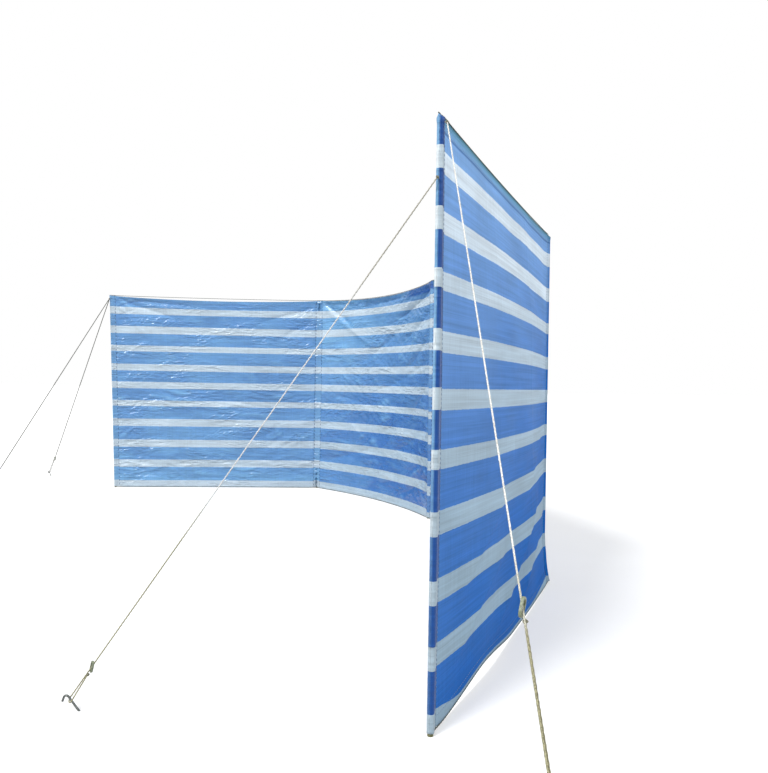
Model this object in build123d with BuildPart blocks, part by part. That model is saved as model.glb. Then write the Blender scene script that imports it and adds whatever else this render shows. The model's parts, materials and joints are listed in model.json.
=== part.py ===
"""Beach windbreak: one long striped cloth held up in four bays by five poles, with two guy ropes at
each end. It stands in a C-shaped plan. Pole 1 is the near end, pole 3 the middle, pole 5 the far end.

The origin is the foot of the middle pole at ground level, with +Z up. Only what stands above the
ground is modelled: poles and pegs are cut off level at z = 0. Bay 1 runs from pole 1 to pole 2, and
so on. "Outer" is the right-hand side of someone walking from pole 1 to pole 5, where the cloth
bellies out; the sheltered side is the left-hand one.
"""
from build123d import *
import os
from math import acos, asin, atan, atan2, cos, degrees, hypot, radians, sin, tan

os.makedirs("parts", exist_ok=True)

# ---- Driving dimensions, in millimetres and degrees --------------------------------------------
# Cloth
cloth_height = 1180.0                          # bottom edge to top edge
ground_gap = 6.0                               # bottom edge above the ground
bay_cloth = 1250.0                             # cloth from pole to pole in each bay
cloth_thickness = 3.0                          # a stout stand-in for woven sheet
fold_take_up = (17.0, 0.0, 0.0, 5.0)           # and how much of that its folds use up
bay_headings = (68.45, 104.95, 122.2, 185.2)   # plan direction of each bay, from the +X axis
belly_bottom = (13.0, 25.0, 80.0, 8.0)         # outward belly of each bay at its bottom edge
belly_middle = (34.0, 55.0, 130.0, 14.0)       # and at half height
belly_top = (-4.0, 12.0, 95.0, 6.0)            # and at its top edge
top_sag = (1.5, 6.0, 17.0, 17.0)               # dip of the top edge halfway along each bay

# Pockets that the poles stand in
pocket_wall = 1.5                              # doubled cloth round the pole
pocket_clearance = 0.5                         # between pole and pocket
middle_pocket_reach = 19.0                     # pole axis to each seam of a middle pocket
end_pocket_reach = 22.0                        # pole axis to the one seam of an end pocket
pocket_relief = 10.0                           # the pocket ends this far below the top edge

# Poles
pole_diameter = 12.0
pole_wall = 1.0
pole_lean_x = (0.0, 0.0, 0.0, 0.0, -47.0)      # how far each pole's top stands off its foot
pole_start = 8.0                               # the tube starts here, above its spike's shoulder
spike_insert = 55.0                            # how far the spike reaches up inside the tube
cap_wall = 1.2
cap_height = 5.5
cap_grip = 4.0                                 # how much of the cap is over the tube
cap_round = 2.5

# Edge cords
cord_diameter = 3.0
cord_clearance = 0.4                           # between each cord and the edge of the cloth
cord_end_gap = 0.4                             # between each cord's end and the pole or its cap
top_cord_bow = (-4.0, 12.0, 95.0, 6.0)         # outward bow of each top cord
top_cord_dip = (1.0, 4.0, 17.0, 3.0)           # downward dip of each top cord

# Guy ropes: each is knotted to a ring of rope round an end pole and its pocket, goes down through
# its tensioner to a loop round the peg, and comes back up to a knot below the tensioner
rope_diameter = 3.0
knot_ring_clearance = 0.7                      # between the rope's ring and the pocket
knot_channel_clearance = 0.4                   # round the ring where it goes through the pocket
knot_diameter = 6.0
lower_knot_diameter = 4.4
knot_length = 7.0
knot_stand_off = 2.2                           # the knot's middle is this far outside the ring's
guy_names = ("near_front", "near_side", "far_front", "far_back")
guy_below_top = (14.0, 121.0, 20.0, 14.0)      # height of the ring below the cloth's top edge
guy_leave_bearings = (-15.0, 245.0, 240.0, 145.0)   # where the rope leaves its ring, seen in plan
guy_peg_bearings = (-82.1, 173.3, 231.7, 141.8)     # from the pole to the peg
guy_reaches = (780.0, 728.6, 800.0, 800.0)     # from the pole to the peg, measured level
guy_tail_lengths = (456.0, 80.0, 130.0, 120.0)      # hook to the tensioner's middle
guy_rolls = (60.0, 45.0, 0.0, 0.0)             # turn of the loop about its rope, from level
strand_gap = 3.8                               # between the strands' middles at the lower knot

# Tensioner: an oval ring, tipped so that the main strand threads through it
tensioner_length = 26.0
tensioner_width = 14.0
tensioner_bar = 3.0
tensioner_thickness = 3.5
tensioner_play = 0.25

# Pegs of bent wire
peg_diameter = 4.5
peg_slope = 50.0                               # the shank's slope, top away from the pole
hook_height = 22.0                             # of the rope's loop above the ground
hook_play = 0.25                               # between the rope's loop and the wire
peg_neck = 7.0                                 # shank above the loop
peg_bend_radius = 6.0
peg_bend_angle = 120.0
peg_tip = 9.0

# ---- Sizes that follow from those --------------------------------------------------------------
pole_radius = pole_diameter / 2
bore_radius = pole_radius - pole_wall
pocket_radius = pole_radius + pocket_clearance + pocket_wall
seam_radius = cloth_thickness / 2
cap_radius = pole_radius + cap_wall
cord_radius = cord_diameter / 2
rope_radius = rope_diameter / 2
peg_radius = peg_diameter / 2
cloth_top = ground_gap + cloth_height
pocket_top = cloth_top - pocket_relief
cap_bottom = pocket_top + pocket_clearance
pole_top = cap_bottom + cap_grip
top_cord_height = cloth_top + cord_clearance + cord_radius
bottom_cord_height = ground_gap - cord_clearance - cord_radius
ring_radius = pocket_radius + knot_ring_clearance + rope_radius
bay_count = len(bay_headings)
pole_count = bay_count + 1
middle_pole = bay_count // 2


def polar(heading, length=1.0):
    """A level vector of that heading and length."""
    return Vector(length * cos(radians(heading)), length * sin(radians(heading)), 0)


def outward(bay):
    """The level unit vector towards the outer side of a bay."""
    return polar(bay_headings[bay] - 90)


def pole_spacing(bay):
    """Straight distance between a bay's poles: its cloth, less what its folds and belly use up."""
    return bay_cloth - fold_take_up[bay] - 8 / 3 * belly_middle[bay] ** 2 / bay_cloth


def end_slope(bay):
    """How far the bellied cloth turns from the bay's heading at its poles, on average."""
    belly = (belly_bottom[bay] + 2 * belly_middle[bay] + belly_top[bay]) / 4
    return degrees(atan(4 * belly / pole_spacing(bay)))


# Feet of the poles, counted out both ways from the middle pole
feet = [Vector(0, 0, 0)]
for bay in range(middle_pole, bay_count):
    feet.append(feet[-1] + polar(bay_headings[bay], pole_spacing(bay)))
for bay in reversed(range(middle_pole)):
    feet.insert(0, feet[0] - polar(bay_headings[bay], pole_spacing(bay)))


def pole_point(pole, height):
    """The point on a pole's axis at that height."""
    return feet[pole] + Vector(pole_lean_x[pole] * height / pole_top, 0, height)


def pole_plane(pole, height):
    """A plane square to a pole's axis, with its origin on the axis at that height."""
    axis = Vector(pole_lean_x[pole], 0, pole_top)
    return Plane(origin=pole_point(pole, height), x_dir=(1, 0, 0), z_dir=axis)


def pocket_seams(pole):
    """Where a pocket's seams are, as points on the pole's own plane."""
    seams = []
    reach = middle_pocket_reach if 0 < pole < pole_count - 1 else end_pocket_reach
    if pole < bay_count:
        seams.append(polar(bay_headings[pole] - end_slope(pole), reach))
    if pole > 0:
        seams.append(polar(bay_headings[pole - 1] + end_slope(pole - 1) + 180, reach))
    return [(seam.X, seam.Y) for seam in seams]


def pocket_outline(pole, height):
    """The section of a pole's pocket at that height: round at the pole, drawn in to each seam."""
    with BuildSketch(pole_plane(pole, height)) as outline:
        Circle(pocket_radius)
        with Locations(*pocket_seams(pole)):
            Circle(seam_radius)
        make_hull()
    return outline.sketch


def guy_pole(name):
    """The pole that a guy rope is tied to, by the rope's name."""
    return 0 if name.startswith("near") else bay_count


def finish_node(builder, name):
    """Label a finished piece and write it out."""
    builder.part.label = name
    export_step(builder.part, f"parts/{name}.step")


# ---- Poles, spikes and caps --------------------------------------------------------------------
for pole in range(pole_count):
    with BuildPart() as pole_tube:
        with BuildSketch(pole_plane(pole, pole_start)):
            Circle(pole_radius)
            Circle(bore_radius, mode=Mode.SUBTRACT)
        extrude(amount=pole_top - pole_start)
    finish_node(pole_tube, f"pole_{pole + 1}")

    with BuildPart() as pole_spike:
        with BuildSketch(pole_plane(pole, pole_start)):
            Circle(bore_radius)
        extrude(amount=spike_insert)
        with BuildSketch(pole_plane(pole, pole_start)):
            Circle(pole_radius)
        extrude(amount=-2 * pole_start)
        split(bisect_by=Plane.XY, keep=Keep.TOP)
    finish_node(pole_spike, f"pole_spike_{pole + 1}")

    with BuildPart() as pole_cap:
        with BuildSketch(pole_plane(pole, cap_bottom)):
            Circle(cap_radius)
        extrude(amount=cap_height)
        fillet(pole_cap.edges().filter_by(GeomType.CIRCLE).sort_by(Axis.Z)[-1], radius=cap_round)
        with BuildSketch(pole_plane(pole, cap_bottom)):
            Circle(pole_radius)
        extrude(amount=cap_grip, mode=Mode.SUBTRACT)
    finish_node(pole_cap, f"pole_cap_{pole + 1}")

# ---- Pockets -----------------------------------------------------------------------------------
for pole in range(pole_count):
    with BuildPart() as pole_pocket:
        extrude(pocket_outline(pole, ground_gap), amount=pocket_top - ground_gap)
        with BuildSketch(pole_plane(pole, ground_gap)):
            Circle(pole_radius + pocket_clearance)
        extrude(amount=cloth_height, mode=Mode.SUBTRACT)
        for name, below_top in zip(guy_names, guy_below_top):
            if guy_pole(name) == pole:
                channel_half = rope_radius + knot_channel_clearance
                with BuildSketch(pole_plane(pole, cloth_top - below_top)):
                    Circle(ring_radius + channel_half)
                    Circle(ring_radius - channel_half, mode=Mode.SUBTRACT)
                extrude(amount=channel_half, both=True, mode=Mode.SUBTRACT)
    finish_node(pole_pocket, f"pole_pocket_{pole + 1}")


# ---- Cloth bays --------------------------------------------------------------------------------
def belly_arc(bay, height, belly, offset):
    """The bay's line in plan from pole to pole, bellied out, and moved outward by the offset."""
    start = pole_point(bay, height) + outward(bay) * offset
    end = pole_point(bay + 1, height) + outward(bay) * offset
    middle = (start + end) * 0.5 + outward(bay) * belly
    return start, middle, end


for bay in range(bay_count):
    cloth_levels = (
        (ground_gap, belly_bottom[bay]),
        (ground_gap + cloth_height / 2, belly_middle[bay]),
        (cloth_top, belly_top[bay]),
    )
    with BuildPart() as cloth_bay:
        for height, belly in cloth_levels:
            outer = belly_arc(bay, height, belly, cloth_thickness / 2)
            inner = belly_arc(bay, height, belly, -cloth_thickness / 2)
            with BuildSketch(Plane.XY.offset(height)):
                with BuildLine():
                    ThreePointArc(*[(point.X, point.Y) for point in outer])
                    ThreePointArc(*[(point.X, point.Y) for point in inner])
                    Line((outer[0].X, outer[0].Y), (inner[0].X, inner[0].Y))
                    Line((outer[2].X, outer[2].Y), (inner[2].X, inner[2].Y))
                make_face()
        loft()
        # The top edge dips halfway along the bay
        top_start, top_middle, top_end = belly_arc(bay, cloth_top, 0, 0)
        half_span = (top_end - top_start).length / 2
        with BuildSketch(Plane(top_middle, x_dir=top_end - top_start, z_dir=outward(bay))):
            with BuildLine():
                ThreePointArc((-half_span, 0), (0, -top_sag[bay]), (half_span, 0))
                Polyline(
                    (half_span, 0),
                    (half_span, cloth_height / 2),
                    (-half_span, cloth_height / 2),
                    (-half_span, 0),
                )
            make_face()
        extrude(amount=bay_cloth / 2, both=True, mode=Mode.SUBTRACT)
        for pole in (bay, bay + 1):
            extrude(pocket_outline(pole, 0), amount=cloth_top + ground_gap, mode=Mode.SUBTRACT)
    finish_node(cloth_bay, f"cloth_bay_{bay + 1}")


# ---- Edge cords --------------------------------------------------------------------------------
def edge_cord(bay, height, bow, dip, end_radius, name):
    """A cord from pole to pole along an edge of the cloth, stopping at each pole's side."""
    along = polar(bay_headings[bay], end_radius + cord_end_gap)
    start = pole_point(bay, height) + along
    end = pole_point(bay + 1, height) - along
    middle = (start + end) * 0.5 + outward(bay) * bow - Vector(0, 0, dip)
    with BuildPart() as cord:
        with BuildLine() as run:
            ThreePointArc(start, middle, end)
        with BuildSketch(Plane(run.line @ 0, z_dir=run.line % 0)):
            Circle(cord_radius)
        sweep(path=run.line)
    finish_node(cord, name)


for bay in range(bay_count):
    edge_cord(bay, top_cord_height, top_cord_bow[bay], top_cord_dip[bay], cap_radius,
              f"top_cord_{bay + 1}")
    edge_cord(bay, bottom_cord_height, belly_bottom[bay], 0, pole_radius,
              f"bottom_cord_{bay + 1}")

# ---- Guy ropes, tensioners and pegs ------------------------------------------------------------
for guy, name in enumerate(guy_names):
    pole = guy_pole(name)
    ring_plane = pole_plane(pole, cloth_top - guy_below_top[guy])
    rope_start = ring_plane.origin + polar(guy_leave_bearings[guy], ring_radius + knot_stand_off)
    away = polar(guy_peg_bearings[guy])
    hook_centre = feet[pole] + away * guy_reaches[guy] + Vector(0, 0, hook_height)
    hook_wire = away * cos(radians(peg_slope)) + Vector(0, 0, sin(radians(peg_slope)))

    # The rope's plane has its origin at the middle of the hook's wire, with x up the rope and y
    # across it. The loop is wide enough for the wire, which crosses that plane on a slant.
    up_rope = (rope_start - hook_centre).normalized()
    level = Vector(0, 0, 1).cross(up_rope).normalized()
    roll = radians(guy_rolls[guy])
    across = level * cos(roll) + up_rope.cross(level) * sin(roll)
    rope_plane = Plane(hook_centre, x_dir=up_rope, z_dir=up_rope.cross(across))
    loop_radius = (peg_radius + hook_play + rope_radius) / hook_wire.dot(rope_plane.z_dir)
    rope_span = (rope_start - hook_centre).length
    tail = guy_tail_lengths[guy]

    # The main strand is a tangent from the top knot to the loop. The short strand leaves the loop
    # on its other side, closes in on the main one, and ends in the lower knot.
    main_turn = degrees(acos(loop_radius / rope_span))
    main_touch = (loop_radius * cos(radians(main_turn)), loop_radius * sin(radians(main_turn)))
    short_reach = tail - tensioner_length / 2 - knot_length / 2
    short_end = (short_reach, loop_radius * (1 - short_reach / rope_span) - strand_gap)
    short_turn = degrees(atan2(short_end[1], short_reach) - acos(loop_radius / hypot(*short_end)))
    short_touch = (loop_radius * cos(radians(short_turn)), loop_radius * sin(radians(short_turn)))

    with BuildPart() as guy_rope:
        with BuildLine(rope_plane) as strands:
            Line((rope_span, 0), main_touch)
            ThreePointArc(main_touch, (-loop_radius, 0), short_touch)
            Line(short_touch, short_end)
        with BuildSketch(Plane(strands.wire() @ 0, z_dir=strands.wire() % 0)):
            Circle(rope_radius)
        sweep(path=strands.wire())
        for knot, girth in (((rope_span, 0), knot_diameter), (short_end, lower_knot_diameter)):
            with Locations(Plane(rope_plane.from_local_coords(knot), x_dir=across, z_dir=up_rope)):
                Cylinder(girth / 2, knot_length)
        with BuildSketch(ring_plane):
            Circle(ring_radius + rope_radius)
            Circle(ring_radius - rope_radius, mode=Mode.SUBTRACT)
        extrude(amount=rope_radius, both=True)
    finish_node(guy_rope, f"{name}_guy_rope")

    # The ring is tipped until each end bar just clears the strand that passes over or under it
    bar_offset = tensioner_thickness / 2 + rope_radius + tensioner_play
    tip_angle = degrees(asin(bar_offset / (tensioner_length / 2 - tensioner_bar)))
    main_offset = loop_radius * (1 - tail / rope_span)
    ring_centre = rope_plane.from_local_coords((tail, main_offset, 0))
    long_way = up_rope * cos(radians(tip_angle)) + rope_plane.z_dir * sin(radians(tip_angle))
    with BuildPart() as tensioner:
        with BuildSketch(Plane(ring_centre, x_dir=long_way, z_dir=long_way.cross(across))):
            SlotOverall(tensioner_length, tensioner_width)
            SlotOverall(
                tensioner_length - 2 * tensioner_bar,
                tensioner_width - 2 * tensioner_bar,
                mode=Mode.SUBTRACT,
            )
        extrude(amount=tensioner_thickness / 2, both=True)
    finish_node(tensioner, f"{name}_tensioner")

    # The peg stands in the upright plane through the pole: x away from the pole, y up
    peg_plane = Plane(hook_centre, x_dir=away, z_dir=away.cross(Vector(0, 0, 1)))
    below = hook_height + peg_diameter
    shank_foot = (-below / tan(radians(peg_slope)), -below)
    shank_top = (peg_neck * cos(radians(peg_slope)), peg_neck * sin(radians(peg_slope)))
    with BuildPart() as peg:
        with BuildLine(peg_plane) as wire_line:
            Line(shank_foot, shank_top)
            bend = JernArc(
                start=shank_top,
                tangent=(cos(radians(peg_slope)), sin(radians(peg_slope))),
                radius=peg_bend_radius,
                arc_size=-peg_bend_angle,
            )
            PolarLine(start=bend @ 1, length=peg_tip, angle=peg_slope - peg_bend_angle)
        with BuildSketch(Plane(wire_line.wire() @ 0, z_dir=wire_line.wire() % 0)):
            Circle(peg_radius)
        sweep(path=wire_line.wire())
        split(bisect_by=Plane.XY, keep=Keep.TOP)
    finish_node(peg, f"{name}_peg")
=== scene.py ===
"""The looks of the beach windbreak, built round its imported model. Lengths are in metres.

Bays are counted from 0 at the near end, and so are poles. "Outer" is the side that the cloth bellies
towards. A place on the cloth is (s, t): s from 0 to 1 along its bay, t from 0 at the bottom edge to 1
at the top edge.
"""
import json
import math

import bpy
import numpy as np
from mathutils import Matrix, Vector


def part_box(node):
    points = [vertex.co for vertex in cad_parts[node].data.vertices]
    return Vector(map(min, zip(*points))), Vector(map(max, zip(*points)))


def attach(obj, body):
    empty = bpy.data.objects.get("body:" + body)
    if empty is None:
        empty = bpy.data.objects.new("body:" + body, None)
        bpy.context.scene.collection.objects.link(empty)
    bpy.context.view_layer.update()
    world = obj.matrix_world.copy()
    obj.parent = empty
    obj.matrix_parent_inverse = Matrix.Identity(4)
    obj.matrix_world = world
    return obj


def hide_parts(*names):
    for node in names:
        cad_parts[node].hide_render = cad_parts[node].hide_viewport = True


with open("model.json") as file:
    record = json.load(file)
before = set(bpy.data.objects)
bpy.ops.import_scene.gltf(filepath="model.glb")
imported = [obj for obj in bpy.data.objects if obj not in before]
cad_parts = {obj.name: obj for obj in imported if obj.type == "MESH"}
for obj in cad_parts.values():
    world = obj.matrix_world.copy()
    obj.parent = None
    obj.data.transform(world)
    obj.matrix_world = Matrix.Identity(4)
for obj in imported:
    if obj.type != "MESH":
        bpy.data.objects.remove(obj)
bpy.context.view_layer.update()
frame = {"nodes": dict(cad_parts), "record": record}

# ---- Sizes -------------------------------------------------------------------------------------
BAYS = 4
POLES = BAYS + 1
FOOT_MOUNTS = ("near_pole_foot", "second_pole_foot", "middle_pole_foot", "fourth_pole_foot",
               "far_pole_foot")
UP = np.array([0.0, 0.0, 1.0])

# Outward belly of each bay at its bottom edge, at half height and at its top edge
BELLIES = ((0.013, 0.034, -0.004), (0.025, 0.055, 0.012), (0.080, 0.130, 0.095), (0.008, 0.014, 0.006))
TOP_SAGS = (0.0015, 0.006, 0.017, 0.017)
CLOTH_THICKNESS = 0.0006
HEM_DEPTH = 0.025
HEM_EXTRA = 0.0005
MIDDLE_REACH = 0.019
END_REACH = 0.022
# The top edge is drawn up to the closed tops of the pockets, and the bottom edge hangs to the ground
TOP_RISE = 0.0012
BOTTOM_DROP = 0.0028
SEAM_FADE = 0.03
# The first bay's bottom hem has drawn up: the height of its crest, where that is along the bay and how
# far it reaches each way, and the height of the rest
BOTTOM_LIFT = (0.018, 0.29, 0.24, 0.005)
# At the second pole the bottom corner kicks outward
FLARED_POLE = 1
FLARE = 0.021
GRIDS = ((140, 220), (120, 200), (150, 270), (150, 270))

# Where the colour changes, as shares of the cloth's height from its top edge: blue first, then white
STRIPE_EDGES = (0.0, 0.053, 0.092, 0.154, 0.193, 0.257, 0.288, 0.352, 0.389, 0.446, 0.482, 0.544,
                0.578, 0.643, 0.683, 0.753, 0.790, 0.859, 0.896, 0.965)

POCKET_RADIUS = 0.0071
POCKET_BORE = 0.0065
CAP_ROOM = 0.0010
LIP_LENGTH = 0.004
RIDGE_OFFSET = 0.0025
# Painted light: bearing of the side of the first pole's pocket that is painted paler as lit; the other
# side is painted deep, in shade
PAINTED_LIT_BEARING = 183.0
# The bore's upper rings: depths below the closed top over the cap, and with its lowest ring the
# share of CAP_ROOM that each has
BORE_DEPTHS = (0.014, 0.009, 0.0035, 0.0001)
BORE_ROOMS = (0, 0, 1, 1, -1.6)
POCKET_ROWS = 220
HALF_SECTION = 20
STITCH_PITCH = 0.009
STITCH = (0.0058, 0.00055)
# Bold stitches on the inner seams: thread, and painted shade of the puckers along those seams
BOLD_PITCH = 0.021
BOLD_STITCH = (0.012, 0.0011)

# Each top cord's outward bow and its dip
TOP_CORDS = ((-0.004, 0.001), (0.012, 0.004), (0.095, 0.017), (0.006, 0.003))
CORD_RADIUS = 0.0015
CORD_PITCH = 0.012
CORD_POINTS = 240
CORD_END = 0.007

# Guy ropes: name, pole, height of the knot below the cloth's top edge, bearing from the pole where
# the rope leaves it, then the peg's bearing and distance, the length of the tail, and its roll
GUYS = (
    ("near_front", 0, 0.014, -15.0, -82.1, 0.7800, 0.456, 60.0),
    ("near_side", 0, 0.121, 245.0, 173.3, 0.7286, 0.080, 45.0),
    ("far_front", 4, 0.020, 240.0, 231.7, 0.8000, 0.130, 0.0),
    ("far_back", 4, 0.014, 145.0, 141.8, 0.8000, 0.120, 0.0),
)
KNOT_REACH = 0.0124
HOOK_HEIGHT = 0.022
HOOK_PLAY = 0.00025
PEG_SLOPE = 50.0
PEG_RADIUS = 0.00225
RUNNER_LENGTH = 0.026
STRAND_GAP = 0.0038
LOWER_KNOT_GAP = 0.0035
ROPE_RADIUS = 0.0015
ROPE_PITCH = 0.009
ROPE_STRANDS = 3
ROPE_SIDES = 8
STRAND_DEPTH = 0.3
RING_SHARE = 1 / 6
# Radius and pitch. The long stretch of a far rope is drawn stouter, since the photo shows it as a
# strong line. It stops short of the tensioner's middle and of the knot.
KNOT_ROPE = (0.0012, 0.006)
FAR_ROPE = (0.0024, 0.014)
FAR_ROPE_GAPS = (0.025, 0.012)

WORLD_LEVEL = 0.62
# Name, bearing, elevation, power and spread
SUNS = (("key", 228, 50, 3.0, 16), ("fill", -30, 30, 1.25, 70))
FLOOR_HALF = 60.0
FLOOR_GLOW = 0.4
CAMERA_PLACE = (-0.2310, -3.7955, 0.6735)
CAMERA_PITCH = -0.266425
CAMERA_ROLL = 0.96085
CAMERA_LENS = 35.36


# ---- Small helpers -----------------------------------------------------------------------------
def unit(v):
    return np.asarray(v, float) / np.linalg.norm(v)


def level(bearing, length=1.0):
    """A level vector of that bearing in degrees from +X, and length."""
    return length * np.array([math.cos(math.radians(bearing)), math.sin(math.radians(bearing)), 0.0])


def sloped(first, second, degrees):
    """The first direction, turned that far towards the second."""
    return first * math.cos(math.radians(degrees)) + second * math.sin(math.radians(degrees))


def smooth(low, high, x):
    """0 below low, 1 above high, and a smooth step between them."""
    k = np.clip((np.asarray(x, float) - low) / (high - low), 0, 1)
    return k * k * (3 - 2 * k)


def noise(x, y, seed):
    """Smooth gradient noise over the plane, about -1 to 1, the same for the same seed."""
    x, y = np.broadcast_arrays(np.asarray(x, float), np.asarray(y, float))
    column, row = np.floor(x).astype(np.int64), np.floor(y).astype(np.int64)
    fx, fy = x - column, y - row

    def corner(i, j):
        mix = ((column + i) * 374761393 + (row + j) * 668265263 + seed * 974634777) & 0xFFFFFFFF
        mix = ((mix ^ (mix >> 13)) * 1274126177) & 0xFFFFFFFF
        angle = (mix ^ (mix >> 16)) / 2**32 * math.tau
        return np.cos(angle) * (fx - i) + np.sin(angle) * (fy - j)

    ease_x, ease_y = (k * k * k * (k * (k * 6 - 15) + 10) for k in (fx, fy))
    low = corner(0, 0) * (1 - ease_x) + corner(1, 0) * ease_x
    high = corner(0, 1) * (1 - ease_x) + corner(1, 1) * ease_x
    return 1.5 * (low * (1 - ease_y) + high * ease_y)


def ridged(x, y, seed):
    """Noise with sharp crests, about -1 to 1."""
    return 1 - 2.4 * np.abs(noise(x, y, seed))


def bump(middle, reach, x):
    """1 at the middle and 0 beyond its reach."""
    return 1 - smooth(0, reach, np.abs(x - middle))


def crease(along, up, start, end, gentle, steep, height):
    """A fold from one place on the cloth to another, in metres along and up, that fades out at its
    ends. Its flank is gentle on the left of that way and steep on the right."""
    start, end = np.array(start), np.array(end)
    run = end - start
    share = ((along - start[0]) * run[0] + (up - start[1]) * run[1]) / (run @ run)
    aside = ((up - start[1]) * run[0] - (along - start[0]) * run[1]) / np.linalg.norm(run)
    fade = smooth(0, 0.3, share) * (1 - smooth(0.7, 1, share))
    width = np.where(aside > 0, gentle, steep)
    return height * fade * np.exp(-np.sqrt(aside**2 + (0.2 * steep) ** 2) / width)


# ---- The frame's lines -------------------------------------------------------------------------
mounts = {m["name"]: np.array(m["pos_m"], float) for m in frame["record"]["mounts"]}
feet = [mounts[name] for name in FOOT_MOUNTS]
cloth_low, cloth_high = (corner.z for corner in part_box("cloth_bay_1"))
cloth_height = cloth_high - cloth_low
leans = []
for pole in range(POLES):
    low, high = (np.array(corner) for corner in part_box(f"pole_cap_{pole + 1}"))
    middle = (low + high) / 2
    leans.append((middle - feet[pole]) / (middle - feet[pole])[2])


def pole_at(pole, z):
    """The pole's axis at those heights."""
    return feet[pole] + np.multiply.outer(z, leans[pole])


def outward(bay):
    way = unit(feet[bay + 1] - feet[bay])
    return np.array([way[1], -way[0], 0.0])


def bay_length(bay):
    return np.linalg.norm(feet[bay + 1] - feet[bay])


def pocket_reach(pole):
    return MIDDLE_REACH if 0 < pole < POLES - 1 else END_REACH


def seam_share(bay, end):
    """How far along the bay the pocket's seam is, for its first (0) or last (1) pole."""
    share = pocket_reach(bay + end) / bay_length(bay)
    return 1 - share if end else share


def through(low, middle, high, t):
    """The curve through three values at t = 0, 0.5 and 1."""
    return low * (2 * t - 1) * (t - 1) + middle * 4 * t * (1 - t) + high * t * (2 * t - 1)


def foot_line(pole, t):
    """A pole's line as the cloth on its outer side follows it."""
    line = pole_at(pole, cloth_low + t * cloth_height)
    if pole == FLARED_POLE:
        kick = FLARE * np.exp(-t * cloth_height / 0.07) * (1 - smooth(0.08, 0.14, t))
        line = line + np.multiply.outer(kick, outward(pole))
    return line


def pole_distances(bay, s):
    """How far beyond the seams of the bay's two poles a place is."""
    length = bay_length(bay)
    return s * length - pocket_reach(bay), (1 - s) * length - pocket_reach(bay + 1)


def bottom_lift(bay, s):
    """How far the bottom edge is drawn up."""
    most, middle, reach, rest = BOTTOM_LIFT
    return (most * bump(middle, reach, s) + rest * 4 * s * (1 - s)) * (bay == 0)


def bay_point(bay, s, t):
    """The middle of the cloth without its wrinkles."""
    s, t = np.broadcast_arrays(np.asarray(s, float), np.asarray(t, float))
    start, end = foot_line(bay, t), foot_line(bay + 1, t)
    bow = 4 * s * (1 - s)
    belly = through(*BELLIES[bay], t) * bow
    place = start + (end - start) * s[..., None] + outward(bay) * belly[..., None]
    near = np.maximum(np.minimum(*pole_distances(bay, s)), 0)
    place[..., 2] -= TOP_SAGS[bay] * bow * smooth(0.9, 1.0, t)
    place[..., 2] += TOP_RISE * np.exp(-near / SEAM_FADE) * smooth(0.97, 1.0, t)
    place[..., 2] -= BOTTOM_DROP * smooth(0, 0.04, near) * (1 - smooth(0, 0.03, t))
    place[..., 2] += bottom_lift(bay, s) * (1 - smooth(0, 0.10, t))
    return place


def stripe_place(bay, s, t):
    """Where a place is between the stripes, from 0 at the top edge to 1 at the bottom edge."""
    share = 1 - t
    # The stripes stand off their even places most at the near pole
    stretch = {0: 1 - 0.586 * s, 1: 0.414 * (1 - s)}.get(bay, 0 * s)
    share = share + stretch * (0.0055 * np.sin(math.pi * share) + 0.0044 * np.sin(math.tau * share))
    # The lowest stripe is turned under in the first bay, away from its pole
    under = {0: smooth(0, 0.16, s) * (1 - 0.4 * smooth(0.75, 1, s)), 1: 0.6 * (1 - smooth(0, 0.4, s))}
    return share - 0.025 * under.get(bay, 0 * s) * smooth(0.90, 0.965, share)


def light_and_tone_place(bay, s, t, crest_wear_and_shade=0.0):
    """How pale the blue and the white are painted, mostly as painted light and shade, and the distance
    below the top edge in hem depths. The noise is random tone.
    """
    patchy = 0.06 * noise(s * 5, t * 4, 60 + bay)
    # Painted light: the first three bays are painted paler towards their top edge, the third bay's upper
    # part as a painted glare. The first bay also deepens along its length, the third pales towards its
    # last pole and its top stripe deepens near its first, and the last bay is paler near its bottom.
    if bay == 0:
        blue = 0.07 + 0.75 * t + 0.25 * t**4 - 0.20 * s * smooth(0.0, 0.3, t)
        white = 1.35 * t**2
    elif bay == 1:
        blue, white = 0.1 + 0.7 * t, 0.3 + 0.7 * t
    elif bay == 2:
        blue = 0.27 + 0.42 * smooth(0.25, 0.9, t) + 0.22 * smooth(0.3, 1.0, s)
        blue = blue - 0.9 * smooth(0.34, 0.16, s) * smooth(0.962, 0.975, t)
        white = 0.45 + 0.5 * smooth(0.1, 0.7, t)
    else:
        blue, white = 0.69 - 0.10 * t + 0.18 * smooth(0.15, 0.0, t), 0.85 + 0 * t
    below = (1 - t) * cloth_height / HEM_DEPTH
    return np.stack(np.broadcast_arrays(np.clip(blue + patchy + crest_wear_and_shade, 0, 1.4),
                                        np.clip(white + patchy + crest_wear_and_shade, 0, 1.3), below + 0 * s), -1)


# ---- Meshes ------------------------------------------------------------------------------------
def make_object(name, points, faces, materials, place=None, tint=None, slots=None):
    mesh = bpy.data.meshes.new(name)
    mesh.from_pydata([tuple(p) for p in points], [], [tuple(int(i) for i in f) for f in faces])
    mesh.polygons.foreach_set("use_smooth", [True] * len(mesh.polygons))
    for layer_name, values in (("cloth_place", place), ("cloth_light_and_tone", tint)):
        if values is not None:
            layer = mesh.attributes.new(layer_name, "FLOAT_VECTOR", "POINT")
            layer.data.foreach_set("vector", np.asarray(values, np.float32).ravel())
    for material in materials:
        mesh.materials.append(material)
    if slots is not None:
        mesh.polygons.foreach_set("material_index", np.asarray(slots, np.int32))
    mesh.update()
    obj = bpy.data.objects.new(name, mesh)
    bpy.context.scene.collection.objects.link(obj)
    return obj


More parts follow.
